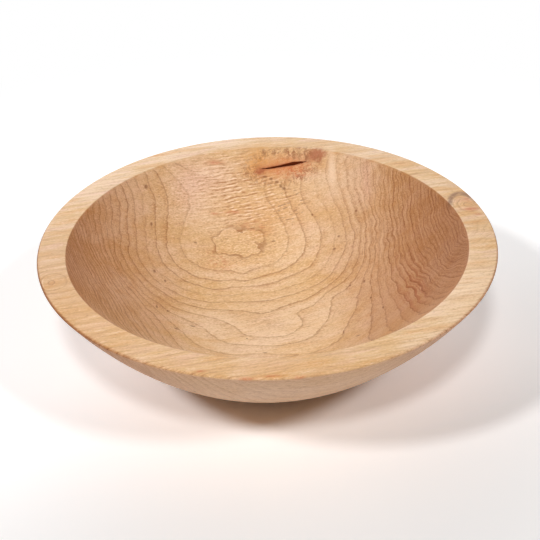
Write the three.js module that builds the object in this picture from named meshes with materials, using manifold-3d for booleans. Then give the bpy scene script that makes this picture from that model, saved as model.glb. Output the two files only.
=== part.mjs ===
// A wooden bowl, turned on a lathe from one block of pale hardwood. Millimetres, +Z up, with the origin on the table
// under the bowl's centre. The wall keeps one thickness from the broad rim down to the foot, because its inside and
// outside are arcs about one centre. A branch once ended in the wall beside the rim, and its bark left a fissure there.
import * as THREE from "three";
import { mergeVertices } from "three/addons/utils/BufferGeometryUtils.js";
import Module from "manifold-3d";

const wasm = await Module();
wasm.setup();

// Rim: a broad band that slopes gently outwards, so its inner edge is the highest line of the bowl.
const RIM_DIAMETER = 254;
const RIM_WIDTH = 15.7;
const RIM_SLOPE = THREE.MathUtils.degToRad(2.5);
const HEIGHT = 76;
const OUTER_EDGE_RADIUS = 1.3;
const INNER_EDGE_RADIUS = 0.8;

// Wall, in section: the outside arc, how far it leans from upright where it meets the rim, and the inside of the bowl.
const OUTSIDE_RADIUS = 216;
const WALL_LEAN = THREE.MathUtils.degToRad(35);
const TURN_RADIUS = 78; // turns the inside wall into the bottom
const BOTTOM_RADIUS = 340; // the bottom is dished, not flat
const BOTTOM_HEIGHT = 15; // inside, at the centre

// Foot: a low ring, hollowed underneath where the lathe's chuck held it.
const FOOT_DIAMETER = 90;
const FOOT_CHAMFER = 0.8;
const COVE_RADIUS = 3; // where the foot meets the wall
const RECESS_DIAMETER = 62;
const RECESS_DEPTH = 2.6;
const RECESS_TAPER = 1.2;
const RECESS_CORNER_RADIUS = 1.6;

// Bark fissure: a slit in the inside wall. The angle is counted from +X, seen from above, and the slit climbs by its
// tilt towards +X. Its sides close in with depth.
const FISSURE = {
  angle: THREE.MathUtils.degToRad(83.7),
  height: 67.1,
  tilt: THREE.MathUtils.degToRad(10.5),
  length: 28.5,
  width: 2.3,
  depth: 7,
  widthAtDepth: 0.25,
  lengthAtDepth: 0.7,
};
// Half the slit's width along its length, both as shares of the whole.
const FISSURE_HALF_WIDTHS = [[0.2, 0.26], [0.45, 0.3], [0.72, 0.5], [0.9, 0.3]];

const STEPS_AROUND = 96;

const point = (radius, height) => new THREE.Vector2(radius, height);

// Points on an arc, the short way round, with both of its ends.
function arc(centre, from, to, steps) {
  const start = from.clone().sub(centre);
  const end = to.clone().sub(centre);
  const turn = Math.atan2(start.cross(end), start.dot(end));
  return Array.from({ length: steps + 1 }, (_, i) => from.clone().rotateAround(centre, (turn * i) / steps));
}

// A corner between two legs, rounded by an arc that touches both.
function roundedCorner(before, corner, after, radius, steps) {
  const back = before.clone().sub(corner).normalize();
  const ahead = after.clone().sub(corner).normalize();
  const halfAngle = Math.acos(back.dot(ahead)) / 2;
  const reach = radius / Math.tan(halfAngle);
  const inward = back.clone().add(ahead).normalize();
  const centre = corner.clone().addScaledVector(inward, radius / Math.sin(halfAngle));
  return arc(centre, corner.clone().addScaledVector(back, reach), corner.clone().addScaledVector(ahead, reach), steps);
}

// The centre of a circle that touches two larger ones from inside, on the side away from the axis.
function centreInside(circleA, circleB, radius) {
  const reachA = circleA.radius - radius;
  const reachB = circleB.radius - radius;
  const apart = circleB.centre.clone().sub(circleA.centre);
  const distance = apart.length();
  const along = (distance ** 2 + reachA ** 2 - reachB ** 2) / (2 * distance);
  const aside = Math.sqrt(reachA ** 2 - along ** 2);
  const unit = apart.normalize();
  return circleA.centre.clone().addScaledVector(unit, along).add(point(unit.y, -unit.x).multiplyScalar(aside));
}

// The lowest point of a circle's section at a distance from the bowl's axis.
function wallAt(circle, radius) {
  return point(radius, circle.centre.y - Math.sqrt(circle.radius ** 2 - (radius - circle.centre.x) ** 2));
}

// Where a circle is touched by a smaller one inside it.
function touch(circle, innerCentre) {
  const outward = innerCentre.clone().sub(circle.centre).setLength(circle.radius);
  return circle.centre.clone().add(outward);
}

// The rim's outer edge is an arc about edgeCentre, which runs into the wall on one side and the rim's face on the other.
const rimInner = point(RIM_DIAMETER / 2 - RIM_WIDTH, HEIGHT);
const faceNormal = point(Math.sin(RIM_SLOPE), Math.cos(RIM_SLOPE));
const wallNormal = point(Math.cos(WALL_LEAN), -Math.sin(WALL_LEAN));
const faceEndRadius = RIM_DIAMETER / 2 - OUTER_EDGE_RADIUS * (1 - Math.sin(RIM_SLOPE));
const faceEnd = point(faceEndRadius, HEIGHT - (faceEndRadius - rimInner.x) * Math.tan(RIM_SLOPE));
const edgeCentre = faceEnd.clone().addScaledVector(faceNormal, -OUTER_EDGE_RADIUS);
const wallTop = edgeCentre.clone().addScaledVector(wallNormal, OUTER_EDGE_RADIUS);

const wallCentre = wallTop.clone().addScaledVector(wallNormal, -OUTSIDE_RADIUS);
const outsideWall = { centre: wallCentre, radius: OUTSIDE_RADIUS };
const insideWall = { centre: wallCentre, radius: wallCentre.distanceTo(rimInner) };
const bottom = { centre: point(0, BOTTOM_HEIGHT + BOTTOM_RADIUS), radius: BOTTOM_RADIUS };

// Underside, from the axis out to the wall: recess, flat ring to stand on, and cove.
function footSection() {
  const footRadius = FOOT_DIAMETER / 2;
  const recessRadius = RECESS_DIAMETER / 2;
  const recessCentre = point(0, RECESS_DEPTH);
  const recessCorner = point(recessRadius - RECESS_TAPER, RECESS_DEPTH);
  const recessMouth = point(recessRadius, 0);
  const ringEdge = point(footRadius, FOOT_CHAMFER);
  return [
    recessCentre,
    ...roundedCorner(recessCentre, recessCorner, recessMouth, RECESS_CORNER_RADIUS, 2),
    recessMouth,
    point(footRadius - FOOT_CHAMFER, 0),
    ringEdge,
    ...roundedCorner(
      ringEdge,
      wallAt(outsideWall, footRadius),
      wallAt(outsideWall, footRadius + COVE_RADIUS),
      COVE_RADIUS,
      3,
    ),
  ];
}

// Rim, from the outside wall to the inside wall.
function rimSection() {
  const inside = wallAt(insideWall, rimInner.x - INNER_EDGE_RADIUS);
  return [
    ...arc(edgeCentre, wallTop, faceEnd, 5),
    ...roundedCorner(faceEnd, rimInner, inside, INNER_EDGE_RADIUS, 3),
  ];
}

// Inside, from below the rim to the axis: wall, turn and bottom, each running smoothly into the next.
function insideSection(from) {
  const turnCentre = centreInside(insideWall, bottom, TURN_RADIUS);
  const wallEnd = touch(insideWall, turnCentre);
  const bottomEdge = touch(bottom, turnCentre);
  return [
    ...arc(wallCentre, from, wallEnd, 9).slice(1),
    ...arc(turnCentre, wallEnd, bottomEdge, 6).slice(1),
    ...arc(bottom.centre, bottomEdge, point(0, BOTTOM_HEIGHT), 2).slice(1),
  ];
}

function bowlSection() {
  const foot = footSection();
  const rim = rimSection();
  const outside = arc(wallCentre, foot.at(-1), rim[0], 11).slice(1, -1);
  return [...foot, ...outside, ...rim, ...insideSection(rim.at(-1))];
}

// The slit's outline as a pointed lens, with its length along X and its middle at the origin.
function fissureOutline() {
  const { length, width } = FISSURE;
  const edge = FISSURE_HALF_WIDTHS.map(([along, across]) => point((along - 0.5) * length, across * width));
  const mirrored = edge.map(({ x, y }) => point(x, -y)).reverse();
  const outline = new THREE.Shape();
  outline.moveTo(-length / 2, 0);
  outline.splineThru([...edge, point(length / 2, 0)]);
  outline.splineThru([...mirrored, point(-length / 2, 0)]);
  return outline;
}

// The wood that the fissure takes away. It starts clear of the wall, because the wall is curved.
function fissureGeometry() {
  const { angle, height, tilt, depth, widthAtDepth, lengthAtDepth } = FISSURE;
  const clear = 2;
  const geometry = new THREE.ExtrudeGeometry(fissureOutline(), {
    depth: clear + depth,
    bevelEnabled: false,
    curveSegments: 2,
  }).translate(0, 0, -clear);
  const position = geometry.getAttribute("position");
  for (let i = 0; i < position.count; i++) {
    const share = position.getZ(i) / depth;
    const x = position.getX(i) * THREE.MathUtils.lerp(1, lengthAtDepth, share);
    const y = position.getY(i) * THREE.MathUtils.lerp(1, widthAtDepth, share);
    position.setXY(i, x, y);
  }

  const drop = wallCentre.y - height;
  const onWall = point(wallCentre.x + Math.sqrt(insideWall.radius ** 2 - drop ** 2), height);
  const slope = onWall.clone().sub(wallCentre).normalize();
  const placed = (radial, upright) =>
    new THREE.Vector3(radial * Math.cos(angle), radial * Math.sin(angle), upright);
  const into = placed(slope.x, slope.y);
  const up = placed(-slope.y, slope.x);
  const along = into.clone().cross(up).multiplyScalar(Math.cos(tilt)).addScaledVector(up, Math.sin(tilt));
  const across = into.clone().cross(along);
  const place = new THREE.Matrix4().makeBasis(along, across, into).setPosition(placed(onWall.x, onWall.y));
  return geometry.applyMatrix4(place);
}

function solidFrom(geometry) {
  const bare = geometry.clone();
  bare.deleteAttribute("normal");
  bare.deleteAttribute("uv");
  const merged = mergeVertices(bare, 1e-3);
  return new wasm.Manifold(
    new wasm.Mesh({
      numProp: 3,
      vertProperties: merged.getAttribute("position").array,
      triVerts: new Uint32Array(merged.getIndex().array),
    }),
  );
}

function geometryFrom(solid) {
  const { vertProperties, triVerts } = solid.getMesh();
  const geometry = new THREE.BufferGeometry();
  geometry.setAttribute("position", new THREE.BufferAttribute(vertProperties, 3));
  geometry.setIndex(new THREE.BufferAttribute(triVerts, 1));
  geometry.computeVertexNormals();
  return geometry;
}

function turnedBowl() {
  const turned = new THREE.LatheGeometry(bowlSection(), STEPS_AROUND).rotateX(Math.PI / 2);
  const solid = solidFrom(turned).subtract(solidFrom(fissureGeometry()));
  const maple = new THREE.MeshStandardMaterial({ color: 0xd3a77c, roughness: 0.5, metalness: 0 });
  const mesh = new THREE.Mesh(geometryFrom(solid), maple);
  mesh.name = "turned_bowl";
  return mesh;
}

const bowl = new THREE.Group();
bowl.add(turnedBowl());

export default bowl;
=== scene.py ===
"""The looks of a turned maple bowl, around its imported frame. Blender units are metres, with +Z up."""
import logging
import math
from dataclasses import dataclass, field
from enum import Enum

import bmesh
import bpy
from mathutils import Matrix, Vector


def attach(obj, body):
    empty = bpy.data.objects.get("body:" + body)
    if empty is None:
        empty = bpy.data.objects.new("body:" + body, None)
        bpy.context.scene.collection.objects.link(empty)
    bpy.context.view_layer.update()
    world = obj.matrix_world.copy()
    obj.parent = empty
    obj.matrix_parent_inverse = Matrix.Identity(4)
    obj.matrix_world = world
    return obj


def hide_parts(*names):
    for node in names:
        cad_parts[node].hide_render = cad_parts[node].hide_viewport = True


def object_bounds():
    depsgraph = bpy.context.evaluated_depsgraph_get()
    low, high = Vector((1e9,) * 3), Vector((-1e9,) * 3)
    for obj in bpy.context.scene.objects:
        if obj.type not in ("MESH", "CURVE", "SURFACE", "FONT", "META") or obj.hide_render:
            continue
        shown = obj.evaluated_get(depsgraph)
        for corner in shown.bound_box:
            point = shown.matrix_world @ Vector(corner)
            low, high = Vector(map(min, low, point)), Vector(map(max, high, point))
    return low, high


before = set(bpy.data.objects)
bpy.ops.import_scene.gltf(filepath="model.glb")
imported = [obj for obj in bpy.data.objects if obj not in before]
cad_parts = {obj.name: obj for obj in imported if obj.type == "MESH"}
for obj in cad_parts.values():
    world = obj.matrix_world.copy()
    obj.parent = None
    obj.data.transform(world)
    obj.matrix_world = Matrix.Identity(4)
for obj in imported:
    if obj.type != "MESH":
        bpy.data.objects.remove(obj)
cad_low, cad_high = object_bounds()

MM = 0.001
FRAME_PIXELS = 540
THROUGHOUT = math.inf
log = logging.getLogger("bowl")

Triple = tuple[float, float, float]
Colour = tuple[float, float, float, float]
Socket = bpy.types.NodeSocket

ACROSS: Triple = (1, 0, 0)
UPRIGHT: Triple = (0, 0, 1)


# Tools for materials

class Blend(Enum):
    """How a Mix node lays its second colour over its first."""

    PLAIN = "MIX"
    MULTIPLY = "MULTIPLY"


def from_screen(red: int, green: int, blue: int) -> Colour:
    """Turns a colour as a screen shows it into the light that Blender works in.

    Args:
        red: Red from 0 to 255.
        green: Green from 0 to 255.
        blue: Blue from 0 to 255.

    Returns:
        The colour as four numbers, the last of them 1.
    """
    shares = [value / 255 for value in (red, green, blue)]
    light = [share / 12.92 if share <= 0.04045 else ((share + 0.055) / 1.055) ** 2.4 for share in shares]
    return (*light, 1.0)


class Wire:
    """A number that varies over a surface. Python's operators on it add Math nodes."""

    def __init__(self, shader: "Shader", socket: Socket) -> None:
        """Keeps the socket that the number comes from."""
        self.shader = shader
        self.socket = socket

    def math(self, operation: str, other: "Wire | float" = 0.0, swapped: bool = False) -> "Wire":
        """Adds one Math node.

        Args:
            operation: The Math node's operation.
            other: The second number.
            swapped: True where the other number comes first.

        Returns:
            The node's result.
        """
        first, second = (other, self) if swapped else (self, other)
        node = self.shader.node("ShaderNodeMath", {"operation": operation}, {0: first, 1: second})
        return Wire(self.shader, node.outputs[0])

    def __add__(self, other: "Wire | float") -> "Wire":
        """Adds."""
        return self.math("ADD", other)

    def __sub__(self, other: "Wire | float") -> "Wire":
        """Subtracts."""
        return self.math("SUBTRACT", other)

    def __rsub__(self, other: float) -> "Wire":
        """Subtracts this from a plain number."""
        return self.math("SUBTRACT", other, swapped=True)

    def __mul__(self, other: "Wire | float") -> "Wire":
        """Multiplies."""
        return self.math("MULTIPLY", other)

    def __truediv__(self, other: "Wire | float") -> "Wire":
        """Divides."""
        return self.math("DIVIDE", other)

    def __pow__(self, other: "Wire | float") -> "Wire":
        """Raises to a power."""
        return self.math("POWER", other)

    __radd__ = __add__
    __rmul__ = __mul__

    def step(self, low: float, high: float) -> "Wire":
        """Rises smoothly from 0 at low to 1 at high, or falls where low is the larger.

        Args:
            low: Where the result is 0.
            high: Where the result is 1.

        Returns:
            The smooth step.
        """
        falls = low > high
        limits = {1: min(low, high), 2: max(low, high), 3: float(falls), 4: float(not falls)}
        settings = {"interpolation_type": "SMOOTHSTEP"}
        node = self.shader.node("ShaderNodeMapRange", settings, {0: self, **limits})
        return Wire(self.shader, node.outputs[0])


@dataclass(frozen=True)
class Spot:
    """An oval place: its middle and its reach along each axis, which are millimetres in the wood."""

    middle: Triple
    reach: Triple

    @property
    def shares(self) -> Triple:
        """One over each reach."""
        return tuple(1 / reach for reach in self.reach)


@dataclass(frozen=True)
class Grain:
    """A random pattern in the wood: its size along each axis, in millimetres, and how fine it gets.

    Where it has levels, it is 0 below the first and 1 above the second, in separate patches.
    """

    size: Triple
    detail: float = 1.0
    levels: tuple[float, float] | None = None
    roughness: float = 0.5


class Shader:
    """A material and the nodes that it is made of."""

    def __init__(self, name: str) -> None:
        """Starts an empty material.

        Args:
            name: The material's name.
        """
        self.material = bpy.data.materials.new(name)
        self.material.use_nodes = True
        self.tree = self.material.node_tree
        self.tree.nodes.clear()

    def node(self, kind: str, settings: dict[str, str], inputs: dict[int | str, object]) -> bpy.types.Node:
        """Adds one node.

        Args:
            kind: The node's type.
            settings: Its properties by name.
            inputs: Values, wires or sockets by the input's name or number.

        Returns:
            The new node.
        """
        node = self.tree.nodes.new(kind)
        for name, value in settings.items():
            setattr(node, name, value)
        for key, value in inputs.items():
            source = value.socket if isinstance(value, Wire) else value
            if isinstance(source, Socket):
                self.tree.links.new(source, node.inputs[key])
            else:
                node.inputs[key].default_value = source
        return node

    def vector(self, operation: str, first: Socket | Triple, second: Socket | Triple = (0, 0, 0)) -> Socket:
        """Adds one Vector Math node that gives a vector.

        Args:
            operation: The node's operation.
            first: The first vector, or its socket.
            second: The second vector, or its socket.

        Returns:
            The socket of the result.
        """
        return self.node("ShaderNodeVectorMath", {"operation": operation}, {0: first, 1: second}).outputs[0]

    def dot(self, first: Socket | Triple, second: Socket | Triple) -> Wire:
        """The dot product of two vectors."""
        node = self.node("ShaderNodeVectorMath", {"operation": "DOT_PRODUCT"}, {0: first, 1: second})
        return Wire(self, node.outputs["Value"])

    def length(self, vector: Socket) -> Wire:
        """The length of a vector."""
        node = self.node("ShaderNodeVectorMath", {"operation": "LENGTH"}, {0: vector})
        return Wire(self, node.outputs["Value"])

    def scaled(self, vector: Socket | Triple, size: Wire) -> Socket:
        """A vector made longer or shorter."""
        node = self.node("ShaderNodeVectorMath", {"operation": "SCALE"}, {0: vector, "Scale": size})
        return node.outputs[0]

    def joined(self, x: Wire | float, y: Wire | float, z: Wire | float) -> Socket:
        """A vector of three numbers."""
        return self.node("ShaderNodeCombineXYZ", {}, {0: x, 1: y, 2: z}).outputs[0]

    def bell(self, at: Socket, spot: Spot) -> Wire:
        """Rises to 1 in the middle of a spot and fades out around it.

        Args:
            at: The place.
            spot: The spot, in the place's own axes.

        Returns:
            The height of the bell.
        """
        shares = self.vector("MULTIPLY", self.vector("SUBTRACT", at, spot.middle), spot.shares)
        return (self.dot(shares, shares) * -1.0).math("EXPONENT")

    def bells(self, at: Socket, spots: tuple[Spot, ...]) -> Wire:
        """Adds up the bells of several spots.

        Args:
            at: The place.
            spots: The spots, in the place's own axes.

        Returns:
            The sum.
        """
        first, *others = spots
        return sum((self.bell(at, spot) for spot in others), self.bell(at, first))

    def noise(self, at: Socket, grain: Grain) -> Wire:
        """Adds a random pattern.

        Args:
            at: The place, in millimetres.
            grain: The pattern's size, detail and levels.

        Returns:
            The pattern, from 0 to 1.
        """
        place = self.vector("DIVIDE", at, grain.size)
        inputs = {"Vector": place, "Scale": 1.0, "Detail": grain.detail, "Roughness": grain.roughness}
        pattern = Wire(self, self.node("ShaderNodeTexNoise", {}, inputs).outputs[0])
        return pattern.step(*grain.levels) if grain.levels else pattern

    def mix(
        self,
        share: Wire | float,
        first: Socket | Colour,
        second: Socket | Colour,
        blend: Blend = Blend.PLAIN,
    ) -> Socket:
        """Mixes two colours.

        Args:
            share: The share of the second colour.
            first: The first colour, or its socket.
            second: The second colour, or its socket.
            blend: How the second is laid over the first.

        Returns:
            The socket of the mixed colour.
        """
        settings = {"data_type": "RGBA", "blend_type": blend.value}
        return self.node("ShaderNodeMix", settings, {0: share, 6: first, 7: second}).outputs[2]


class Coats:
    """The colour of a surface, laid on coat by coat."""

    def __init__(self, shader: Shader, ground: Colour) -> None:
        """Starts from a bare ground."""
        self.shader = shader
        self.colour = ground

    def lay(self, share: Wire | float, colour: Colour, blend: Blend = Blend.PLAIN) -> None:
        """Lays a share of a colour over the coats so far."""
        self.colour = self.shader.mix(share, self.colour, colour, blend)


# The wood

@dataclass(frozen=True)
class MapleTones:
    """The colours of the wood, as a screen shows them in level light."""

    pale: Colour = from_screen(232, 198, 159)
    golden: Colour = from_screen(223, 183, 132)
    honey: Colour = from_screen(217, 161, 99)
    amber: Colour = from_screen(224, 164, 94)
    pink: Colour = from_screen(236, 195, 170)
    silver: Colour = from_screen(252, 222, 190)
    shade: Colour = from_screen(184, 132, 88)
    late: Colour = from_screen(146, 92, 52)
    fleck: Colour = from_screen(122, 72, 40)
    streak: Colour = from_screen(196, 106, 62)
    stain: Colour = from_screen(212, 135, 76)
    purple: Colour = from_screen(168, 86, 48)
    knot_edge: Colour = from_screen(112, 70, 52)
    bark: Colour = from_screen(190, 120, 82)
    # The three grain tones below darken the side walls, partly for the end grain's own colour and partly as
    # painted shade; the last also darkens the left rim.
    end_grain_and_shade: Colour = from_screen(209, 176, 152)
    ruddy_grain_and_shade: Colour = from_screen(214, 169, 143)
    shaded_grain: Colour = from_screen(198, 178, 160)


TONES = MapleTones()


@dataclass(frozen=True)
class Fissure:
    """A slit that a branch's bark left in the inside wall.

    Its outline is half the width, as a share of the greatest, at shares of the length. Each stage goes deeper
    by a step and leaves a share of the length and of the width before it.
    """

    angle: float = math.radians(83.7)
    height: float = 67.1 * MM
    tilt: float = math.radians(10.5)
    length: float = 28.5 * MM
    width: float = 2.3 * MM
    clear: float = 2 * MM
    bend: float = 0.25 * MM
    half_widths: tuple[tuple[float, float], ...] = (
        (0, 0.03),
        (0.2, 0.24),
        (0.45, 0.3),
        (0.72, 0.5),
        (0.9, 0.28),
        (1, 0.03),
    )
    stages: tuple[Triple, ...] = ((2 * MM, 1, 1), (3 * MM, 0.88, 0.6), (4 * MM, 0.8, 0.42))
    columns: int = 30
    raggedness: float = 0.14 * MM
    seed: int = 7

    def frame_on(self, centre: Vector, radius: float) -> Matrix:
        """Places the slit on the inside wall.

        Args:
            centre: The centre of the wall's arc, as a distance from the axis and a height.
            radius: The radius of that arc.

        Returns:
            The slit's own frame: X along it, Y down across it, Z into the wood.
        """
        drop = centre.y - self.height
        distance = centre.x + math.sqrt(radius**2 - drop**2)
        slope = Vector((distance - centre.x, -drop)).normalized()
        outward = Vector((math.cos(self.angle), math.sin(self.angle), 0))
        upward = Vector(UPRIGHT)
        into = outward * slope.x + upward * slope.y
        up = upward * slope.x - outward * slope.y
        along = into.cross(up) * math.cos(self.tilt) + up * math.sin(self.tilt)
        across = into.cross(along)
        place = outward * distance + upward * self.height
        return Matrix.Translation(place) @ Matrix((along, across, into)).transposed().to_4x4()

    def half_width_at(self, share: float) -> float:
        """Reads the slit's half width off its outline.

        Args:
            share: How far along the slit, from 0 to 1.

        Returns:
            Half the width there, as a share of the greatest width.
        """
        for (start, first), (end, second) in zip(self.half_widths, self.half_widths[1:]):
            if share <= end:
                return first + (second - first) * (share - start) / (end - start)
        return self.half_widths[-1][1]

    def shape_cutter(self) -> bpy.types.Object:
        """Makes the body that the slit takes out of the wall, in the slit's own frame.

        Returns:
            The body, selected in object mode.
        """
        deselect()
        bpy.ops.mesh.primitive_grid_add(x_subdivisions=self.columns, y_subdivisions=1, size=self.length)
        cutter = bpy.context.object
        bpy.ops.object.mode_set(mode="EDIT")
        bpy.ops.mesh.select_all(action="SELECT")
        bpy.ops.transform.translate(value=(0, 0, -self.clear))
        for column in range(self.columns + 1):
            self.narrow_column(cutter, column / self.columns)
        bpy.ops.mesh.select_all(action="SELECT")
        depth = -self.clear
        for step, length_share, width_share in self.stages:
            depth += step
            bpy.ops.mesh.extrude_region_move(TRANSFORM_OT_translate={"value": (0, 0, step)})
            bpy.ops.transform.resize(value=(length_share, width_share, 1), center_override=(0, 0, depth))
        bpy.ops.mesh.select_all(action="SELECT")
        bpy.ops.transform.vertex_random(offset=self.raggedness, seed=self.seed)
        bpy.ops.mesh.normals_make_consistent(inside=False)
        bpy.ops.object.mode_set(mode="OBJECT")
        return cutter

    def narrow_column(self, cutter: bpy.types.Object, share: float) -> None:
        """Draws one column of the strip in to the slit's width and bends it aside.

        Args:
            cutter: The strip, in edit mode.
            share: How far along the strip the column is, from 0 to 1.
        """
        bpy.ops.mesh.select_all(action="DESELECT")
        place = (share - 0.5) * self.length
        near = self.length / self.columns / 4
        mesh = bmesh.from_edit_mesh(cutter.data)
        for vertex in mesh.verts:
            vertex.select_set(abs(vertex.co.x - place) < near)
        bmesh.update_edit_mesh(cutter.data)
        narrow = 2 * self.half_width_at(share) * self.width / self.length
        middle = (place, 0, -self.clear)
        bpy.ops.transform.resize(value=(1, narrow, 1), center_override=middle)
        bpy.ops.transform.translate(value=(0, self.bend * math.sin(math.tau * share), 0))


@dataclass(frozen=True)
class GrainHill:
    """A place where the growth rings swell or dip, seen from above, in millimetres."""

    centre: tuple[float, float]
    spread: tuple[float, float]
    rise: float

    @property
    def spot(self) -> Spot:
        """The hill's place, through the whole height of the wood."""
        return Spot((*self.centre, 0), (*self.spread, THROUGHOUT))


@dataclass(frozen=True)
class GrowthRings:
    """The tree's growth rings, which lie about a bowed pith above the bowl, with hills. Millimetres."""

    thickness: float = 2.3
    counted_from: float = 120.2
    pith_place: float = -5.0
    pith_slant: float = 0.22
    pith_height: float = 114.5
    pith_bow: float = 0.0007
    line_width: float = 0.9
    least_steepness: float = 0.04
    wavy_right: tuple[float, float] = (30, 60)
    wavy_left: tuple[float, float] = (-50, -80)
    wave_reach_right: float = 2.0
    wave_reach_left: float = 1.2
    wave_reach: float = 3.0
    sway_reach: float = 4.0
    fray_reach: float = 0.8
    scallop_reach: float = 2.2
    eye: Spot = Spot((-17, 65, 0), (19, 16, THROUGHOUT))
    sway: Grain = Grain((26, 26, 26))
    wave: Grain = Grain((16, 9, 9))
    fray: Grain = Grain((5, 2.5, 2.5))
    scallops: Grain = Grain((8, 6, 6))
    breaks: Grain = Grain((6, 3, 3), 2.0, (0.3, 0.66))
    dashes: Grain = Grain((1, 1, 1), 2.0, (0.56, 0.7))
    streaks: Grain = Grain((1, 1, 1), 2.0)
    hills: tuple[GrainHill, ...] = (
        GrainHill((0, 67), (43, 28), 11),
        GrainHill((1, -26), (45, 10), -2.2),
        GrainHill((-52, 50), (32, 29), 10),
        GrainHill((54, 56), (32, 39), 12.6),
        GrainHill((-16, -1), (20, 18), 2.3),
        GrainHill((13, 18), (13, 9), -1.9),
        GrainHill((40, 26), (15, 10), -2.2),
        GrainHill((119, 33), (15, 14), -7.2),
        GrainHill((7, 8), (22, 21), 5.3),
        GrainHill((-88, 20), (33, 34), 16.6),
        GrainHill((85, -6), (33, 45), 10),
        GrainHill((-68, -32), (37, 28), 8.2),
        GrainHill((-16.3, 76), (15.6, 10.5), -0.6),
        GrainHill((-17.7, 66.2), (6.2, 7.4), 0.5),
        GrainHill((-24.8, 61.8), (7.6, 7.8), -0.2),
        GrainHill((114, 38), (8, 9), -5),
        GrainHill((-116.5, -36), (9, 12), -4.5),
        GrainHill((109, 0), (13, 16), -9),
    )

    def measure(self, shader: Shader, at: Socket) -> tuple[Wire, Socket]:
        """Measures how far a place is from the pith, over the hills, and how that distance grows.

        Args:
            shader: The material.
            at: The place.

        Returns:
            The distance, and its growth along X, Y and Z.
        """
        slant = math.hypot(1, self.pith_slant)
        across = (-self.pith_slant / slant, 1 / slant, 0)
        aside = shader.dot(at, across) - self.pith_place / slant
        along = shader.dot(at, ACROSS)
        drop = along * along * self.pith_bow + self.pith_height - shader.dot(at, UPRIGHT)
        distance = (aside * aside + drop * drop).math("SQRT")
        bowed = shader.joined(along * (2 * self.pith_bow), 0.0, -1.0)
        sideways = shader.scaled(across, aside / distance)
        growth = shader.vector("ADD", sideways, shader.scaled(bowed, drop / distance))
        for hill in self.hills:
            bell = shader.bell(at, hill.spot)
            distance = distance + bell * hill.rise
            from_centre = shader.vector("SUBTRACT", at, hill.spot.middle)
            pull = tuple(-2 * hill.rise * share**2 for share in hill.spot.shares)
            tilt = shader.scaled(shader.vector("MULTIPLY", from_centre, pull), bell)
            growth = shader.vector("ADD", growth, tilt)
        return distance, growth

    def unevenness(self, shader: Shader, at: Socket, steepness: Wire, eye: Wire) -> Wire:
        """Works out how far the rings stray from their smooth course, more so where they run steeply.

        Args:
            shader: The material.
            at: The place.
            steepness: How steeply the surface cuts the rings, from 0 to 1.
            eye: The bell of the eye on the bottom, where the rings are scalloped.

        Returns:
            The distance that they stray.
        """
        aside = shader.dot(at, ACROSS)
        waviness = aside.step(*self.wavy_right) * self.wave_reach_right
        waviness = waviness + aside.step(*self.wavy_left) * self.wave_reach_left + self.wave_reach
        sway = (shader.noise(at, self.sway) - 0.5) * self.sway_reach
        wave = (shader.noise(at, self.wave) - 0.5) * waviness
        fray = (shader.noise(at, self.fray) - 0.5) * self.fray_reach
        scallops = (shader.noise(at, self.scallops) - 0.5) * self.scallop_reach
        return (sway + wave) * steepness + fray * steepness**0.5 + eye * scallops

    def draw(self, shader: Shader, at: Socket, normal: Socket) -> tuple[Wire, Wire]:
        """Works out how dark the growth rings make the wood.

        The lines are thin and broken, and short dashes join them on the walls.

        Args:
            shader: The material.
            at: The place.
            normal: The surface's normal.

        Returns:
            The darkness of the lines, from 0 to 1, and of the soft streaks beside them, from -1 to 1.
        """
        distance, growth = self.measure(shader, at)
        crossed = shader.length(shader.vector("CROSS_PRODUCT", growth, normal))
        steepness = crossed.math("MAXIMUM", self.least_steepness)
        walls = steepness.step(0.25, 0.75)
        eye = shader.bell(at, self.eye)
        strayed = distance - self.counted_from + self.unevenness(shader, at, steepness, eye)
        ring = strayed / -self.thickness
        share = ring.math("FRACT")
        number = ring.math("FLOOR")
        per_ring = shader.node("ShaderNodeTexWhiteNoise", {"noise_dimensions": "1D"}, {"W": number})
        own = Wire(shader, per_ring.outputs[0])

        from_edge = share * self.thickness / (steepness**0.65 * (eye * 0.9 + 1.0))
        line = from_edge.step(self.line_width, self.line_width * 0.2)
        line = line * (own * 0.5 + 0.5 + eye * 0.5) * (shader.noise(at, self.breaks) * 0.5 + 0.5)
        beside = shader.joined(ring * 5.0, shader.dot(at, (0.16, 0.1, 0)), shader.dot(at, (0, 0.16, 0.22)))
        dashes = shader.noise(beside, self.dashes) * walls

        along = shader.joined(ring * 3.4, shader.dot(at, (0.06, 0.03, 0)), shader.dot(at, (0, 0.03, 0.06)))
        streaks = (shader.noise(along, self.streaks) - 0.5) * 3.5
        fading = share.step(0.7, 0.0) * (own * 0.5 + 0.3) * 0.6
        return line + dashes * 0.5, fading + streaks * walls


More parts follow.
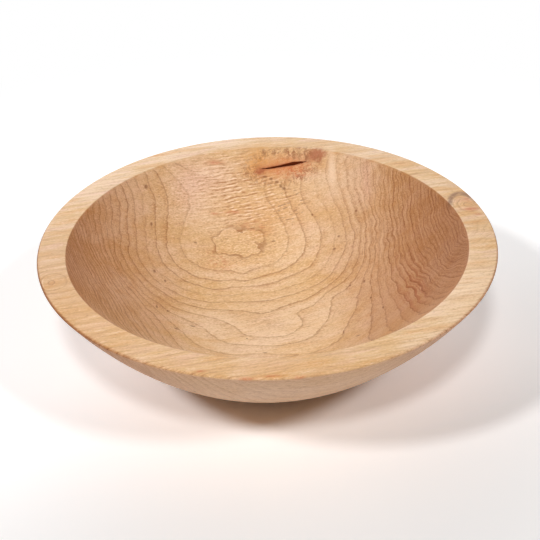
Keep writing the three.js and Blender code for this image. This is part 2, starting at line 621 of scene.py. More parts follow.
@dataclass(frozen=True)
class Curl:
    """The curl beside the knot: ripples that run across the slope of the wall. Millimetres."""

    spot: Spot = Spot((-15, 92, 0), (27, 17, THROUGHOUT))
    spacing: float = 2.2
    waviness: float = 11.0
    ladder: Spot = Spot((15, 85, 50), (9, 9, 14))
    ladder_spacing: float = 2.5
    ladder_waviness: float = 7.0
    up_wall: Triple = (-0.21, 0.77, 0.64)
    uneven: Grain = Grain((10, 4, 4), 2.0)
    breaks: Grain = Grain((6, 1.8, 1.8), 1.0, (0.38, 0.6))
    pieces: Grain = Grain((3, 3, 3), 1.0, (0.48, 0.6))

    def wave(self, shader: Shader, at: Socket) -> tuple[Wire, Wire]:
        """Works out the ripples of the curl and the rungs below the knot.

        Args:
            shader: The material.
            at: The place.

        Returns:
            The ripples, from -1 to 1, and the dark rungs, from 0 to 1.
        """
        up_wall = shader.dot(at, self.up_wall)
        uneven = shader.noise(at, self.uneven) - 0.5
        phase = up_wall * (math.tau / self.spacing) + uneven * self.waviness
        ripples = phase.math("SINE") * shader.noise(at, self.breaks) * shader.bell(at, self.spot)
        rung_phase = up_wall * (math.tau / self.ladder_spacing) + uneven * self.ladder_waviness
        ladder = shader.bell(at, self.ladder).step(0.1, 0.6)
        rungs = rung_phase.math("SINE").step(0.1, 0.9) * shader.noise(at, self.pieces) * ladder
        return ripples, rungs


@dataclass(frozen=True)
class StainedKnot:
    """The stained wood about the fissure. Millimetres.

    Its spots lie in the slit's own frame: along it, down across it and into the wood. Only the teeth above
    the slit and the painted highlight stripe beside the knot are places in the block.
    """

    slit: Matrix
    unlined: Spot = Spot((2, 1, 0), (19, 9, 9))
    halo: Spot = Spot((-15, -4, 0), (8, 9, 9))
    heart: Spot = Spot((0, 0.5, 0), (16, 6, 9))
    underside: Spot = Spot((7, 4.5, 0), (13, 4.5, 9))
    far_patch: Spot = Spot((21, -3, 0), (7, 4.5, 9))
    near_tip: Spot = Spot((-14.5, 1.5, 0), (3.4, 2.8, 5))
    near_ticks: Spot = Spot((-19, 1, 0), (6, 8, 9))
    lips: Spot = Spot((0.5, 0, 0), (14, 1.5, 9))
    specked: tuple[Spot, ...] = (Spot((9.4, 7.3, 0), (7, 3, 9)), Spot((7, -6, 0), (11, 3, 9)))
    loop: Spot = Spot((-1, 1, 0), (20, 10, 14))
    inside: Spot = Spot((0, 0, 4), (15, 2.2, 6))
    teeth: tuple[Spot, ...] = (
        Spot((-0.5, 110, 73.4), (1.6, 2, 2)),
        Spot((6, 110, 73.2), (1.2, 2, 2)),
        Spot((14.2, 109, 72), (1.1, 4, 4.2)),
        Spot((17.9, 108.4, 71.6), (1.1, 4, 4.2)),
        Spot((21.2, 107.6, 71.4), (1.1, 4, 4.6)),
        Spot((25.5, 106.8, 71.2), (1.5, 4, 5.2)),
    )
    # Painted highlight: a pale stripe on the wall beside the knot.
    painted_highlight_stripe: Spot = Spot((40.8, 96, 67), (2.4, 14, 11))
    stray_scale: float = 0.45
    stray: Triple = (7, 5, 5)
    specks: Grain = Grain((1.4, 3.4, 3.4), 1.0, (0.47, 0.6))
    dashes: Grain = Grain((3.0, 1.1, 1.1), 2.0, (0.46, 0.6))
    strokes: Grain = Grain((1.2, 5, 5), 1.0, (0.3, 0.55))

    def in_slit(self, shader: Shader, at: Socket) -> Socket:
        """Turns a place into the slit's own frame.

        Args:
            shader: The material.
            at: The place.

        Returns:
            The place along the slit, down across it and into the wood.
        """
        from_slit = shader.vector("SUBTRACT", at, tuple(self.slit.translation / MM))
        axes = (tuple(self.slit.col[number].xyz) for number in range(3))
        return shader.joined(*(shader.dot(from_slit, axis) for axis in axes))

    def strayed(self, shader: Shader, at: Socket) -> Socket:
        """A place in the slit's frame, moved about at random so that the stains get ragged edges.

        Args:
            shader: The material.
            at: The place.

        Returns:
            The moved place.
        """
        inputs = {"Vector": at, "Scale": self.stray_scale, "Detail": 2.0}
        ragged = shader.node("ShaderNodeTexNoise", {}, inputs).outputs[1]
        shift = shader.vector("MULTIPLY", shader.vector("SUBTRACT", ragged, (0.5, 0.5, 0.5)), self.stray)
        return shader.vector("ADD", self.in_slit(shader, at), shift)

    def stain(self, coats: Coats, at: Socket) -> None:
        """Stains the wood about the slit, marks the teeth above it, and paints a highlight stripe beside it.

        Args:
            coats: The wood's colour so far.
            at: The place.
        """
        shader = coats.shader
        place = self.strayed(shader, at)
        specks = shader.noise(place, self.specks)
        dashes = shader.noise(place, self.dashes)
        coats.lay(shader.bell(place, self.halo) * (dashes * -0.4 + 1.0), TONES.amber)
        coats.lay(shader.bell(place, self.heart) * (dashes * 0.3 + 0.8), TONES.stain)
        coats.lay(shader.bell(place, self.underside) * dashes * 0.8, TONES.streak)
        coats.lay(shader.bell(place, self.far_patch).step(0.15, 0.8) * 0.75, TONES.purple)
        coats.lay(shader.bell(place, self.near_tip) * 0.9, TONES.purple)
        coats.lay(shader.bell(place, self.near_ticks) * dashes * 0.5, TONES.late)
        lips = shader.bell(self.in_slit(shader, at), self.lips)
        coats.lay(lips.step(0.1, 0.6) * 0.55, TONES.purple)
        coats.lay(shader.bells(place, self.specked) * specks * 0.55, TONES.purple)
        around = shader.bell(place, self.loop)
        loop = around.step(0.12, 0.34) * around.step(0.7, 0.4)
        coats.lay(loop * specks * 0.4, TONES.late)
        strokes = shader.noise(at, self.strokes)
        coats.lay(shader.bells(at, self.teeth).step(0.1, 0.8) * strokes * 0.6, TONES.late)
        # Painted highlight: the pale stripe beside the knot.
        coats.lay(shader.bell(at, self.painted_highlight_stripe) * 0.7, TONES.silver)

    def line_with_bark(self, coats: Coats, at: Socket) -> None:
        """Colours the walls of the slit, from just below its edge.

        Args:
            coats: The wood's colour so far.
            at: The place.
        """
        shader = coats.shader
        place = self.in_slit(shader, at)
        depth = shader.dot(place, UPRIGHT)
        coats.lay(shader.bell(place, self.inside).step(0.05, 0.3) * depth.step(0.3, 1.0), TONES.bark)


@dataclass(frozen=True)
class RimKnot:
    """A small knot in the rim: honey-coloured wood under a dark arch, with two red stains. Millimetres."""

    spot: Spot = Spot((113, 36, 75.5), (8, 13, 20))
    upper_side: Triple = (-0.35, 0.94, 0)
    stains: tuple[Spot, ...] = (Spot((116, 41, 75.5), (4, 3, 20)), Spot((118, 30, 75.5), (4, 3, 20)))
    ragged: Grain = Grain((3, 3, 3), 2.0, (0.3, 0.55))

    def draw(self, coats: Coats, at: Socket) -> None:
        """Draws the knot.

        Args:
            coats: The wood's colour so far.
            at: The place.
        """
        shader = coats.shader
        around = shader.bell(at, self.spot)
        arch = around.step(0.22, 0.38) * around.step(0.66, 0.48)
        upper = shader.dot(at, self.upper_side).step(-9.0, -1.0)
        ragged = shader.noise(at, self.ragged)
        coats.lay(around * 0.35, TONES.honey)
        coats.lay(shader.bells(at, self.stains) * ragged * 0.5, TONES.streak)
        coats.lay(arch * upper * (ragged * 0.5 + 0.5) * 0.7, TONES.knot_edge)


@dataclass(frozen=True)
class MapleFinish:
    """Oiled maple, as one solid: growth rings, fibre, flecks, a curl and a stained knot, with painted shade
    on the side walls and a painted highlight beside the knot. Millimetres.
    """

    knot: StainedKnot
    rings: GrowthRings = field(default_factory=GrowthRings)
    curl: Curl = field(default_factory=Curl)
    rim_knot: RimKnot = field(default_factory=RimKnot)
    rim_heights: tuple[float, float] = (74.6, 75.6)
    rim_oval: Spot = Spot((-116.5, -36, 75.5), (10, 15, 20))
    roughness: float = 0.5
    line_roughness: float = 0.1
    specular: float = 0.2
    fibre_contrast: float = 4.0
    silk_contrast: float = 3.0
    line_height: float = -0.03
    fibre_height: float = 0.012
    curl_height: float = 0.06
    clouds: Grain = Grain((50, 22, 22), 3.0, (0.36, 0.64))
    bands: Grain = Grain((26, 5.5, 5.5), 2.0)
    silk: Grain = Grain((24, 2.2, 2.2), 2.0)
    fibre: Grain = Grain((5, 0.75, 0.75), 2.0, None, 0.7)
    grit: Grain = Grain((1.4, 0.6, 0.6))
    pores: Grain = Grain((2.2, 0.55, 0.55), 1.0, (0.62, 0.72))
    eye_specks: Grain = Grain((3, 1.6, 1.6), 2.0, (0.42, 0.6))
    unlined_curl: Spot = Spot((-26, 93, 0), (20, 16, THROUGHOUT))
    faint: Spot = Spot((50, 92, 0), (28, 24, THROUGHOUT))
    toned: Spot = Spot((-120, -20, 76), (34, 60, 8))
    reddish: Spot = Spot((81, -6, 46), (9, 26, 14))
    gritty: tuple[Spot, ...] = (Spot((-56, 78, 58), (15, 15, 14)), Spot((-17, 62, 32), (34, 20, 12)))
    eye_stains: tuple[Spot, ...] = (Spot((-29, 55, 30), (8, 6, 20)), Spot((-8, 76, 38), (9, 3.5, 20)))
    honeyed: tuple[Spot, ...] = (
        Spot((-95, -65, 76), (60, 70, 10)),
        Spot((4, 84, 48), (30, 14, 16)),
        Spot((10, -119, 76), (50, 10, 8)),
    )
    bleached: tuple[Spot, ...] = (
        Spot((104, -62, 76), (34, 50, 10)),
        Spot((60, 84, 62), (14, 14, 12)),
        Spot((5, 14, 15), (34, 26, 6)),
        Spot((48, -104, 52), (40, 30, 14)),
    )
    blush: tuple[Spot, ...] = (
        Spot((-47, 87, 60), (11, 14, 18)),
        Spot((61, 84, 66), (3, 12, 14)),
        Spot((-34, 97, 62), (18, 10, 14)),
    )
    red_streaks: tuple[Spot, ...] = (
        Spot((-20, 82.6, 47.4), (11, 1, 0.8)),
        Spot((-32, 80.2, 48.2), (5, 0.8, 0.7)),
        Spot((-30.3, 103, 70.9), (7, 1.6, 1.3)),
        Spot((116.2, 29.7, 75.5), (4, 1.2, 3)),
        Spot((120, 24, 75.5), (2.5, 1.2, 3)),
        Spot((-34.6, -119.8, 75.5), (3, 1, 3)),
        Spot((-12.6, -126.4, 74.5), (5, 0.8, 2)),
        Spot((0.6, -125.6, 75), (4, 0.8, 2)),
        Spot((14.2, -126.2, 74.5), (3, 0.8, 2)),
    )
    flecks: tuple[Spot, ...] = (
        Spot((-71.3, 78.4, 69.2), (1.3, 1.7, 1.5)),
        Spot((-68.2, 61, 53.4), (0.9, 1.6, 1.3)),
        Spot((-66, 33, 38), (1, 1.2, 1.2)),
        Spot((-60, 30, 33), (1, 1, 1)),
        Spot((-58, 7, 27), (0.8, 1, 1)),
        Spot((-64, 6, 31), (0.7, 1.4, 1)),
        Spot((-53, -7, 24), (2.2, 0.8, 1)),
        Spot((-44, 1, 20), (2.4, 0.7, 1)),
        Spot((48, 30, 26), (0.8, 0.8, 1)),
        Spot((56, 28, 30), (0.8, 1.4, 1)),
        Spot((59, 13, 28), (0.8, 1, 1)),
        Spot((65, -2, 31), (1, 1, 1)),
        Spot((28, 79, 46), (0.7, 0.9, 1)),
        Spot((54, 72, 52), (0.7, 0.9, 1)),
        Spot((40, 57, 35), (1.1, 0.9, 1)),
        Spot((43, 63, 40), (1, 0.7, 1)),
        Spot((4, 69, 34), (1.6, 0.5, 1)),
        Spot((-43, 62, 39), (1.6, 0.5, 1)),
        Spot((-13, -6, 15), (0.7, 0.7, 1)),
        Spot((-3, -21, 16), (1.6, 0.5, 1)),
        Spot((42, -9, 20), (0.5, 2.5, 1)),
        Spot((50, -19, 24), (2.5, 0.6, 1)),
        Spot((-0.1, 99.6, 61.8), (1.7, 1, 0.8)),
        Spot((3.6, 98.6, 60.8), (1.3, 1, 0.9)),
        Spot((7.1, 97.1, 59.3), (1.5, 1, 0.9)),
        Spot((9.4, 95.2, 57.6), (1.1, 1.2, 1.3)),
        Spot((11.4, 93.9, 56.5), (1.4, 1, 0.8)),
    )

    def clear_lines(self, shader: Shader, at: Socket, plain: Wire, outside: Wire) -> Wire:
        """Works out where the ring lines show: faintly on the rim and outside, and not at all in the knot.

        Args:
            shader: The material.
            at: The place.
            plain: The rim apart from its knots, from 0 to 1.
            outside: The outside wall, from 0 to 1.

        Returns:
            The strength of the lines, from 0 to 1.
        """
        faint = (1 - plain * 0.75) * (1 - outside * 0.85) * (1 - shader.bell(at, self.faint) * 0.7)
        off_curl = shader.bell(at, self.unlined_curl).step(0.45, 0.15)
        off_knot = shader.bell(self.knot.in_slit(shader, at), self.knot.unlined).step(0.5, 0.15)
        return faint * off_curl * off_knot

    def lay_tones(self, coats: Coats, at: Socket, grain: Socket, rim: Wire, outside: Wire) -> None:
        """Lays the wood's broad tones over the pale ground.

        Args:
            coats: The wood's colour so far.
            at: The place.
            grain: The place, turned so that X runs along the grain.
            rim: The rim, from 0 to 1.
            outside: The outside wall, from 0 to 1.
        """
        shader = coats.shader
        bands = (shader.noise(grain, self.bands) - 0.5) * (rim * 2.2 + 1.6)
        coats.lay(shader.noise(grain, self.clouds), TONES.golden)
        coats.lay(bands, TONES.honey)
        coats.lay(bands * -0.7, TONES.pink)
        coats.lay(shader.bells(at, self.honeyed) * 0.55, TONES.honey)
        coats.lay(shader.bell(at, self.toned) * 0.2, TONES.shaded_grain, Blend.MULTIPLY)
        coats.lay(shader.bells(at, self.bleached) * 0.4, TONES.silver)
        coats.lay(shader.bells(at, self.blush) * 0.6 + outside * 0.4, TONES.pink)

    def lay_light(self, coats: Coats, light: Wire, red: Wire) -> None:
        """Lays the sheen and shade of the fibres, and the red of the right wall.

        Args:
            coats: The wood's colour so far.
            light: How light the fibres are, from -1 to 1.
            red: How red the wood is, from 0 to 1.
        """
        coats.lay(light, TONES.silver)
        coats.lay(light * -1.0, TONES.shade)
        coats.lay(red * 0.5, TONES.streak)

    def lay_marks(self, coats: Coats, at: Socket, lines: Wire, rungs: Wire, pores: Wire, grit: Wire) -> None:
        """Draws the fine marks: ring lines, rungs, pores, streaks and flecks.

        Args:
            coats: The wood's colour so far.
            at: The place.
            lines: The ring lines, from 0 to 1.
            rungs: The rungs below the knot, from 0 to 1.
            pores: The pores, from 0 to 1.
            grit: The grit, from 0 to 1.
        """
        shader = coats.shader
        eye_specks = shader.noise(at, self.eye_specks)
        coats.lay(shader.bells(at, self.eye_stains) * eye_specks * 0.4, TONES.streak)
        coats.lay(lines * 0.5, TONES.late)
        coats.lay(rungs * 0.5, TONES.fleck)
        coats.lay(pores * 0.3, TONES.late)
        coats.lay(shader.bells(at, self.red_streaks) * grit.step(0.3, 0.55) * 0.7, TONES.streak)
        coats.lay(shader.bells(at, self.flecks).step(0.2, 0.9) * 0.65, TONES.fleck)

    def darken_end_grain_and_wall_shade(self, coats: Coats, normal: Socket) -> None:
        """Darkens the left and right walls, where the surface cuts across the fibres: partly the end grain's
        own darker colour and partly painted shade.

        Args:
            coats: The wood's colour so far.
            normal: The surface's normal.
        """
        # Painted shade: the walls darken by how they face along X, on top of the end grain's own darker
        # colour.
        facing = coats.shader.dot(normal, ACROSS)
        coats.lay(facing.step(0.25, 0.9) * 0.75, TONES.ruddy_grain_and_shade, Blend.MULTIPLY)
        coats.lay(facing.step(-0.1, -0.8) * 0.95, TONES.end_grain_and_shade, Blend.MULTIPLY)
        coats.lay(facing.step(-0.45, -0.85) * 0.45, TONES.shaded_grain, Blend.MULTIPLY)

    def build(self) -> bpy.types.Material:
        """Makes the material.

        Returns:
            The material.
        """
        shader = Shader("oiled_maple")
        coordinates = shader.node("ShaderNodeTexCoord", {}, {})
        at = shader.vector("DIVIDE", coordinates.outputs["Object"], (MM, MM, MM))
        normal = shader.node("ShaderNodeNewGeometry", {}, {}).outputs["Normal"]
        turned = {"Vector": at, "Angle": -math.atan(self.rings.pith_slant)}
        grain = shader.node("ShaderNodeVectorRotate", {"rotation_type": "Z_AXIS"}, turned).outputs[0]
        rim = shader.dot(at, UPRIGHT).step(*self.rim_heights)
        plain = rim * (1 - shader.bells(at, (self.rim_knot.spot, self.rim_oval)))
        outside = shader.dot(normal, UPRIGHT).step(0.0, -0.2)

        lines, streaks = self.rings.draw(shader, at, normal)
        lines = lines * self.clear_lines(shader, at, plain, outside)
        ripples, rungs = self.curl.wave(shader, at)
        fibre = (shader.noise(grain, self.fibre) - 0.5) * self.fibre_contrast
        silk = (shader.noise(grain, self.silk) - 0.5) * self.silk_contrast
        grit = shader.noise(grain, self.grit)
        gritty = shader.bells(at, self.gritty) * 0.9 + 1.3 - rim * 0.5
        face = silk * (rim * 0.2 + 0.2) + fibre * (0.36 - rim * 0.2) + (grit - 0.5) * gritty

        coats = Coats(shader, TONES.pale)
        self.lay_tones(coats, at, grain, rim, outside)
        red = shader.bell(at, self.reddish) * streaks.step(-0.1, 0.3)
        self.lay_light(coats, face - streaks * (0.6 - plain * 0.4) + ripples, red)
        self.knot.stain(coats, at)
        self.rim_knot.draw(coats, at)
        self.lay_marks(coats, at, lines, rungs, shader.noise(grain, self.pores), grit)
        # Painted shade on the side walls, together with the end grain's own darker colour.
        self.darken_end_grain_and_wall_shade(coats, normal)
        self.knot.line_with_bark(coats, at)

        height = lines * self.line_height + fibre * self.fibre_height + ripples * self.curl_height
        bump = shader.node("ShaderNodeBump", {}, {"Strength": 1.0, "Distance": MM, "Height": height})
        sockets = {
            "Base Color": coats.colour,
            "Roughness": lines * self.line_roughness + self.roughness,
            "Normal": bump.outputs[0],
            "Specular IOR Level": self.specular,
        }
        surface = shader.node("ShaderNodeBsdfPrincipled", {}, sockets)
        shader.node("ShaderNodeOutputMaterial", {}, {"Surface": surface.outputs[0]})
        return shader.material


# The bowl

def deselect() -> None:
    """Leaves nothing selected."""
    bpy.ops.object.select_all(action="DESELECT")


def rounded(before: Vector, corner: Vector, after: Vector, radius: float) -> tuple[Vector, Vector, Vector]:
    """Rounds a corner of the section by an arc that touches both of its legs.

    Args:
        before: A point on the leg before the corner.
        corner: The sharp corner.
        after: A point on the leg after it.
        radius: The arc's radius.

    Returns:
        The arc's centre, start and end.
    """
    back = (before - corner).normalized()
    ahead = (after - corner).normalized()
    half_angle = back.angle(ahead) / 2
    reach = radius / math.tan(half_angle)
    centre = corner + (back + ahead).normalized() * (radius / math.sin(half_angle))
    return centre, corner + back * reach, corner + ahead * reach


class SectionPen:
    """Draws a section in the XZ plane in edit mode, from its first point on."""

    def __init__(self, name: str, start: Vector) -> None:
        """Puts down the first point.

        Args:
            name: The name of the new object.
            start: The point's distance from the axis and its height.
        """
        deselect()
        bpy.ops.mesh.primitive_plane_add(size=MM)
        self.piece = bpy.context.object
        self.piece.name = name
        bpy.ops.object.mode_set(mode="EDIT")
        bpy.ops.mesh.select_all(action="SELECT")
        bpy.ops.mesh.merge(type="CENTER")
        bpy.ops.transform.translate(value=(start.x, 0, start.y))
        self.at = start

    def line_to(self, end: Vector) -> None:
        """Draws a straight stretch.

        Args:
            end: Where it ends.
        """
        step = end - self.at
        bpy.ops.mesh.extrude_vertices_move(TRANSFORM_OT_translate={"value": (step.x, 0, step.y)})
        self.at = end

    def arc_to(self, centre: Vector, end: Vector, steps: int) -> None:
        """Draws an arc.

        Args:
            centre: The arc's centre.
            end: Where it ends.
            steps: How many straight steps it has.
        """
        turn = (self.at - centre).angle_signed(end - centre)
        bpy.ops.mesh.spin(steps=steps, angle=turn, center=(centre.x, 0, centre.y), axis=(0, -1, 0))
        self.at = end

    def revolve(self, steps: int) -> bpy.types.Object:
        """Turns the section about the axis into a closed solid.

        Args:
            steps: How many steps there are around.

        Returns:
            The solid, in object mode.
        """
        bpy.ops.mesh.select_all(action="SELECT")
        bpy.ops.mesh.spin(steps=steps, angle=math.tau, center=(0, 0, 0), axis=UPRIGHT)
        bpy.ops.mesh.select_all(action="SELECT")
        bpy.ops.mesh.remove_doubles(threshold=0.001 * MM)
        bpy.ops.mesh.normals_make_consistent(inside=False)
        bpy.ops.object.mode_set(mode="OBJECT")
        return self.piece


@dataclass
class TurnedBowl:
    """The bowl: one section of arcs, turned, with the bark fissure cut into its inside wall."""

    rim_radius: float
    height: float
    rim_width: float = 15.7 * MM
    rim_slope: float = math.radians(2.5)
    outer_edge_radius: float = 1.3 * MM
    inner_edge_radius: float = 0.8 * MM
    outside_radius: float = 216 * MM
    wall_lean: float = math.radians(35)
    turn_radius: float = 78 * MM
    bottom_radius: float = 340 * MM
    bottom_height: float = 15 * MM
    foot_radius: float = 45 * MM
    foot_chamfer: float = 0.8 * MM
    cove_radius: float = 3 * MM
    recess_radius: float = 31 * MM
    recess_depth: float = 2.6 * MM
    recess_taper: float = 1.2 * MM
    recess_corner_radius: float = 1.6 * MM
    fissure: Fissure = field(default_factory=Fissure)
    steps_around: int = 512
    recess_steps: int = 6
    cove_steps: int = 8
    outside_steps: int = 24
    outer_edge_steps: int = 8
    inner_edge_steps: int = 6
    inside_steps: int = 22
    turn_steps: int = 16
    bottom_steps: int = 6
    smooth_angle: float = math.radians(30)

    def __post_init__(self) -> None:
        """Works out the centres of the section's arcs."""
        self.rim_inner = Vector((self.rim_radius - self.rim_width, self.height))
        face_normal = Vector((math.sin(self.rim_slope), math.cos(self.rim_slope)))
        wall_normal = Vector((math.cos(self.wall_lean), -math.sin(self.wall_lean)))
        face_end_radius = self.rim_radius - self.outer_edge_radius * (1 - math.sin(self.rim_slope))
        fall = (face_end_radius - self.rim_inner.x) * math.tan(self.rim_slope)
        self.face_end = Vector((face_end_radius, self.height - fall))
        self.edge_centre = self.face_end - face_normal * self.outer_edge_radius
        self.wall_top = self.edge_centre + wall_normal * self.outer_edge_radius
        self.wall_centre = self.wall_top - wall_normal * self.outside_radius
        self.inside_radius = (self.rim_inner - self.wall_centre).length
        self.bottom_centre = Vector((0, self.bottom_height + self.bottom_radius))

    def wall_at(self, radius: float, distance: float) -> Vector:
        """Finds the point of an arc about the wall's centre at a distance from the axis.

        Args:
            radius: The arc's radius.
            distance: The distance from the bowl's axis.

        Returns:
            The point.
        """
        across = distance - self.wall_centre.x
        return Vector((distance, self.wall_centre.y - math.sqrt(radius**2 - across**2)))

    def turn_centre(self) -> Vector:
        """Finds the centre of the arc that turns the inside wall into the bottom.

        Returns:
            The centre.
        """
        reach_wall = self.inside_radius - self.turn_radius
        reach_bottom = self.bottom_radius - self.turn_radius
        apart = self.bottom_centre - self.wall_centre
        along = (apart.length_squared + reach_wall**2 - reach_bottom**2) / (2 * apart.length)
        aside = math.sqrt(reach_wall**2 - along**2)
        unit = apart.normalized()
        return self.wall_centre + unit * along + Vector((unit.y, -unit.x)) * aside

    def draw_foot(self, pen: SectionPen) -> None:
        """Draws the recess, the ring to stand on and the cove.

        Args:
            pen: The pen, at the middle of the recess.
        """
        corner = Vector((self.recess_radius - self.recess_taper, self.recess_depth))
        mouth = Vector((self.recess_radius, 0))
        centre, start, end = rounded(pen.at, corner, mouth, self.recess_corner_radius)
        pen.line_to(start)
        pen.arc_to(centre, end, self.recess_steps)
        pen.line_to(mouth)
        pen.line_to(Vector((self.foot_radius - self.foot_chamfer, 0)))
        ring_edge = Vector((self.foot_radius, self.foot_chamfer))
        pen.line_to(ring_edge)
        corner = self.wall_at(self.outside_radius, self.foot_radius)
        beyond = self.wall_at(self.outside_radius, self.foot_radius + self.cove_radius)
        centre, start, end = rounded(ring_edge, corner, beyond, self.cove_radius)
        pen.line_to(start)
        pen.arc_to(centre, end, self.cove_steps)

    def draw_rim(self, pen: SectionPen) -> None:
        """Draws the outside wall and the rim.

        Args:
            pen: The pen, at the end of the cove.
        """
        pen.arc_to(self.wall_centre, self.wall_top, self.outside_steps)
        pen.arc_to(self.edge_centre, self.face_end, self.outer_edge_steps)
        below = self.wall_at(self.inside_radius, self.rim_inner.x - self.inner_edge_radius)
        centre, start, end = rounded(self.face_end, self.rim_inner, below, self.inner_edge_radius)
        pen.line_to(start)
        pen.arc_to(centre, end, self.inner_edge_steps)

    def draw_inside(self, pen: SectionPen) -> None:
        """Draws the inside wall, the turn and the dished bottom, down to the axis.

        Args:
            pen: The pen, below the rim's inner edge.
        """
        turn_centre = self.turn_centre()
        from_wall = (turn_centre - self.wall_centre).normalized()
        from_bottom = (turn_centre - self.bottom_centre).normalized()
        wall_end = self.wall_centre + from_wall * self.inside_radius
        bottom_edge = self.bottom_centre + from_bottom * self.bottom_radius
        pen.arc_to(self.wall_centre, wall_end, self.inside_steps)
        pen.arc_to(turn_centre, bottom_edge, self.turn_steps)
        pen.arc_to(self.bottom_centre, Vector((0, self.bottom_height)), self.bottom_steps)

    def cut_fissure(self, bowl: bpy.types.Object, place: Matrix) -> None:
        """Cuts the slit out of the inside wall, and leaves the bowl selected.

        Args:
            bowl: The turned bowl.
            place: The slit's own frame.
        """
        cutter = self.fissure.shape_cutter()
        cutter.matrix_world = place
        bpy.ops.object.transform_apply()
        deselect()
        bowl.select_set(True)
        bpy.context.view_layer.objects.active = bowl
        cut = bowl.modifiers.new("fissure", "BOOLEAN")
        cut.operation = "DIFFERENCE"
        cut.solver = "EXACT"
        cut.object = cutter
        bpy.ops.object.modifier_apply(modifier=cut.name)
        bpy.data.objects.remove(cutter)

    def build(self) -> bpy.types.Object:
        """Makes the bowl.

        Returns:
            The finished piece, dressed in maple.
        """
        pen = SectionPen("maple_bowl", Vector((0, self.recess_depth)))
        self.draw_foot(pen)
        self.draw_rim(pen)
        self.draw_inside(pen)
        bowl = pen.revolve(self.steps_around)
        place = self.fissure.frame_on(self.wall_centre, self.inside_radius)
        self.cut_fissure(bowl, place)
        bpy.ops.object.shade_smooth_by_angle(angle=self.smooth_angle)
        bowl.data.materials.clear()
        bowl.data.materials.append(MapleFinish(StainedKnot(place)).build())
        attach(bowl, "root")
        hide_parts("turned_bowl")
        return bowl


# The studio

@dataclass(frozen=True)
class SoftLamp:
    """A soft lamp that faces the bowl: its turn and elevation in degrees, its size and distance in metres.

    Its share is what it adds to the light on a level surface.
    """

    name: str
    turn: float
    elevation: float
    share: float
    width: float
    height: float
    distance: float = 3.0

    def add(self) -> None:
        """Adds the lamp, with the power that gives its share."""
        data = bpy.data.lights.new(self.name, "AREA")
        data.shape = "ELLIPSE"
        data.size = self.width
        data.size_y = self.height
        turn, elevation = math.radians(self.turn), math.radians(self.elevation)
        data.energy = self.share * (math.pi * self.distance) ** 2 / math.sin(elevation)
        lamp = bpy.data.objects.new(self.name, data)
        lamp.visible_camera = False
        bpy.context.scene.collection.objects.link(lamp)
        level = math.cos(elevation)
        towards = Vector((math.sin(turn) * level, -math.cos(turn) * level, math.sin(elevation)))
        facing = towards.to_track_quat("Z", "Y").to_matrix().to_4x4()
        lamp.matrix_world = Matrix.Translation(towards * self.distance) @ facing


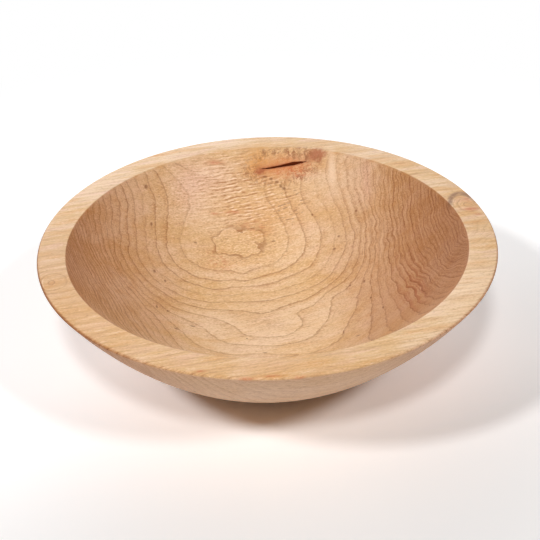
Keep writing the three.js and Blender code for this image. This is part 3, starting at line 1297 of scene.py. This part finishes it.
@dataclass
class Studio:
    """The pale floor, the soft lamps and the camera. The floor's places are in metres."""

    target_height: float = 74.1 * MM
    camera_distance: float = 0.889
    camera_elevation: float = math.radians(31.32)
    camera_roll: float = math.radians(-1.66)
    focal_length: float = 106.9
    sensor_width: float = 36
    frame_shift: tuple[float, float] = (3 / FRAME_PIXELS, -25.75 / FRAME_PIXELS)
    ambient: float = 0.02
    floor_size: float = 20
    floor_lighting: Colour = from_screen(232, 228, 225)
    # Painted bounce light: the floor is paler and warmer near the bowl, which lifts its shadows.
    floor_painted_bounce: Colour = (1.34, 1.28, 1.26, 1)
    # Painted shade: the floor's tone is darker towards the front right than farther away.
    floor_front: Colour = (0.94, 0.92, 0.91, 1)
    floor_far: Colour = (1.25, 1.24, 1.24, 1)
    floor_away: Triple = (-0.4, 1, 0)
    floor_front_to_far: tuple[float, float] = (-0.14, 0.08)
    floor_whitens: tuple[float, float] = (0.12, 0.42)
    floor_painted_bounce_spot: Spot = Spot((0.02, -0.02, 0), (0.1, 0.05, THROUGHOUT))
    lamps: tuple[SoftLamp, ...] = (
        SoftLamp("left_lamp", -54, 46, 0.31, 0.4, 0.4),
        SoftLamp("front_lamp", -4, 51, 0.22, 0.35, 0.35),
        SoftLamp("right_lamp", 44, 46, 0.23, 0.45, 0.45),
        SoftLamp("back_lamp", 192, 24, 0.21, 1.6, 0.9, 1.6),
    )

    def add_camera(self) -> None:
        """Adds the camera at the photograph's viewing angle."""
        data = bpy.data.cameras.new("camera")
        camera = bpy.data.objects.new("camera", data)
        bpy.context.scene.collection.objects.link(camera)
        data.sensor_width = self.sensor_width
        data.lens = self.focal_length
        data.shift_x, data.shift_y = self.frame_shift
        level, rise = math.cos(self.camera_elevation), math.sin(self.camera_elevation)
        back = Vector((0, -level, rise))
        right = Vector(ACROSS)
        up = back.cross(right)
        turned_right = right * math.cos(self.camera_roll) + up * math.sin(self.camera_roll)
        turned_up = up * math.cos(self.camera_roll) - right * math.sin(self.camera_roll)
        axes = Matrix((turned_right, turned_up, back)).transposed()
        place = Vector((0, 0, self.target_height)) + back * self.camera_distance
        camera.matrix_world = Matrix.Translation(place) @ axes.to_4x4()
        bpy.context.scene.camera = camera

    def seen_floor(self, shader: Shader) -> Socket:
        """Makes the floor as the camera sees it, which takes the shadows and whitens with distance. Its tone
        holds painted light: paler and warm near the bowl, as painted bounce light that lifts the shadows, and
        darker towards the front right, as painted shade.

        Args:
            shader: The floor's material.

        Returns:
            The socket of the surface.
        """
        at = shader.node("ShaderNodeTexCoord", {}, {}).outputs["Object"]
        # Painted shade: the floor's tone darkens towards the front right.
        away = shader.dot(at, self.floor_away).step(*self.floor_front_to_far)
        tone = shader.mix(away, self.floor_front, self.floor_far)
        # Painted bounce light: a paler, warm tone near the bowl, over the painted shade towards the front.
        tone = shader.mix(shader.bell(at, self.floor_painted_bounce_spot), tone, self.floor_painted_bounce)
        near = shader.node("ShaderNodeBsdfDiffuse", {}, {"Color": tone})
        white = shader.node("ShaderNodeEmission", {}, {})
        start, end = self.floor_whitens
        distant = shader.dot(at, at).step(start**2, end**2)
        surfaces = {0: distant, 1: near.outputs[0], 2: white.outputs[0]}
        return shader.node("ShaderNodeMixShader", {}, surfaces).outputs[0]

    def add_floor(self) -> None:
        """Adds the floor. The bowl is lit by one plain pale colour of it, whatever the camera sees."""
        deselect()
        bpy.ops.mesh.primitive_plane_add(size=self.floor_size)
        floor = bpy.context.object
        floor.name = "floor"
        shader = Shader("pale_floor")
        seen = self.seen_floor(shader)
        unseen = shader.node("ShaderNodeBsdfDiffuse", {}, {"Color": self.floor_lighting})
        path = shader.node("ShaderNodeLightPath", {}, {})
        surfaces = {0: path.outputs["Is Camera Ray"], 1: unseen.outputs[0], 2: seen}
        both = shader.node("ShaderNodeMixShader", {}, surfaces)
        shader.node("ShaderNodeOutputMaterial", {}, {"Surface": both.outputs[0]})
        floor.data.materials.append(shader.material)

    def add_world(self) -> None:
        """Adds the soft light from all round, which the camera and reflections see as white."""
        world = bpy.data.worlds.new("studio")
        bpy.context.scene.world = world
        world.use_nodes = True
        tree = world.node_tree
        background = tree.nodes["Background"]
        background.inputs["Color"].default_value = (1, 1, 1, 1)
        path = tree.nodes.new("ShaderNodeLightPath")
        sees = path.outputs["Is Camera Ray"]
        for ray in ("Is Glossy Ray", "Is Transmission Ray"):
            either = tree.nodes.new("ShaderNodeMath")
            either.operation = "MAXIMUM"
            tree.links.new(sees, either.inputs[0])
            tree.links.new(path.outputs[ray], either.inputs[1])
            sees = either.outputs[0]
        strength = tree.nodes.new("ShaderNodeMapRange")
        strength.inputs["To Min"].default_value = self.ambient
        tree.links.new(sees, strength.inputs["Value"])
        tree.links.new(strength.outputs[0], background.inputs["Strength"])

    def build(self) -> None:
        """Makes the whole studio."""
        self.add_camera()
        self.add_floor()
        for lamp in self.lamps:
            lamp.add()
        self.add_world()
        bpy.context.scene.view_settings.view_transform = "Standard"


def main() -> None:
    """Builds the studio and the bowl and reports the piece."""
    logging.basicConfig(level=logging.INFO, format="%(message)s")
    Studio().build()
    bowl = TurnedBowl(rim_radius=cad_high.x, height=cad_high.z).build()
    log.info("%s: %d faces", bowl.name, len(bowl.data.polygons))


if __name__ == "__main__":
    main()
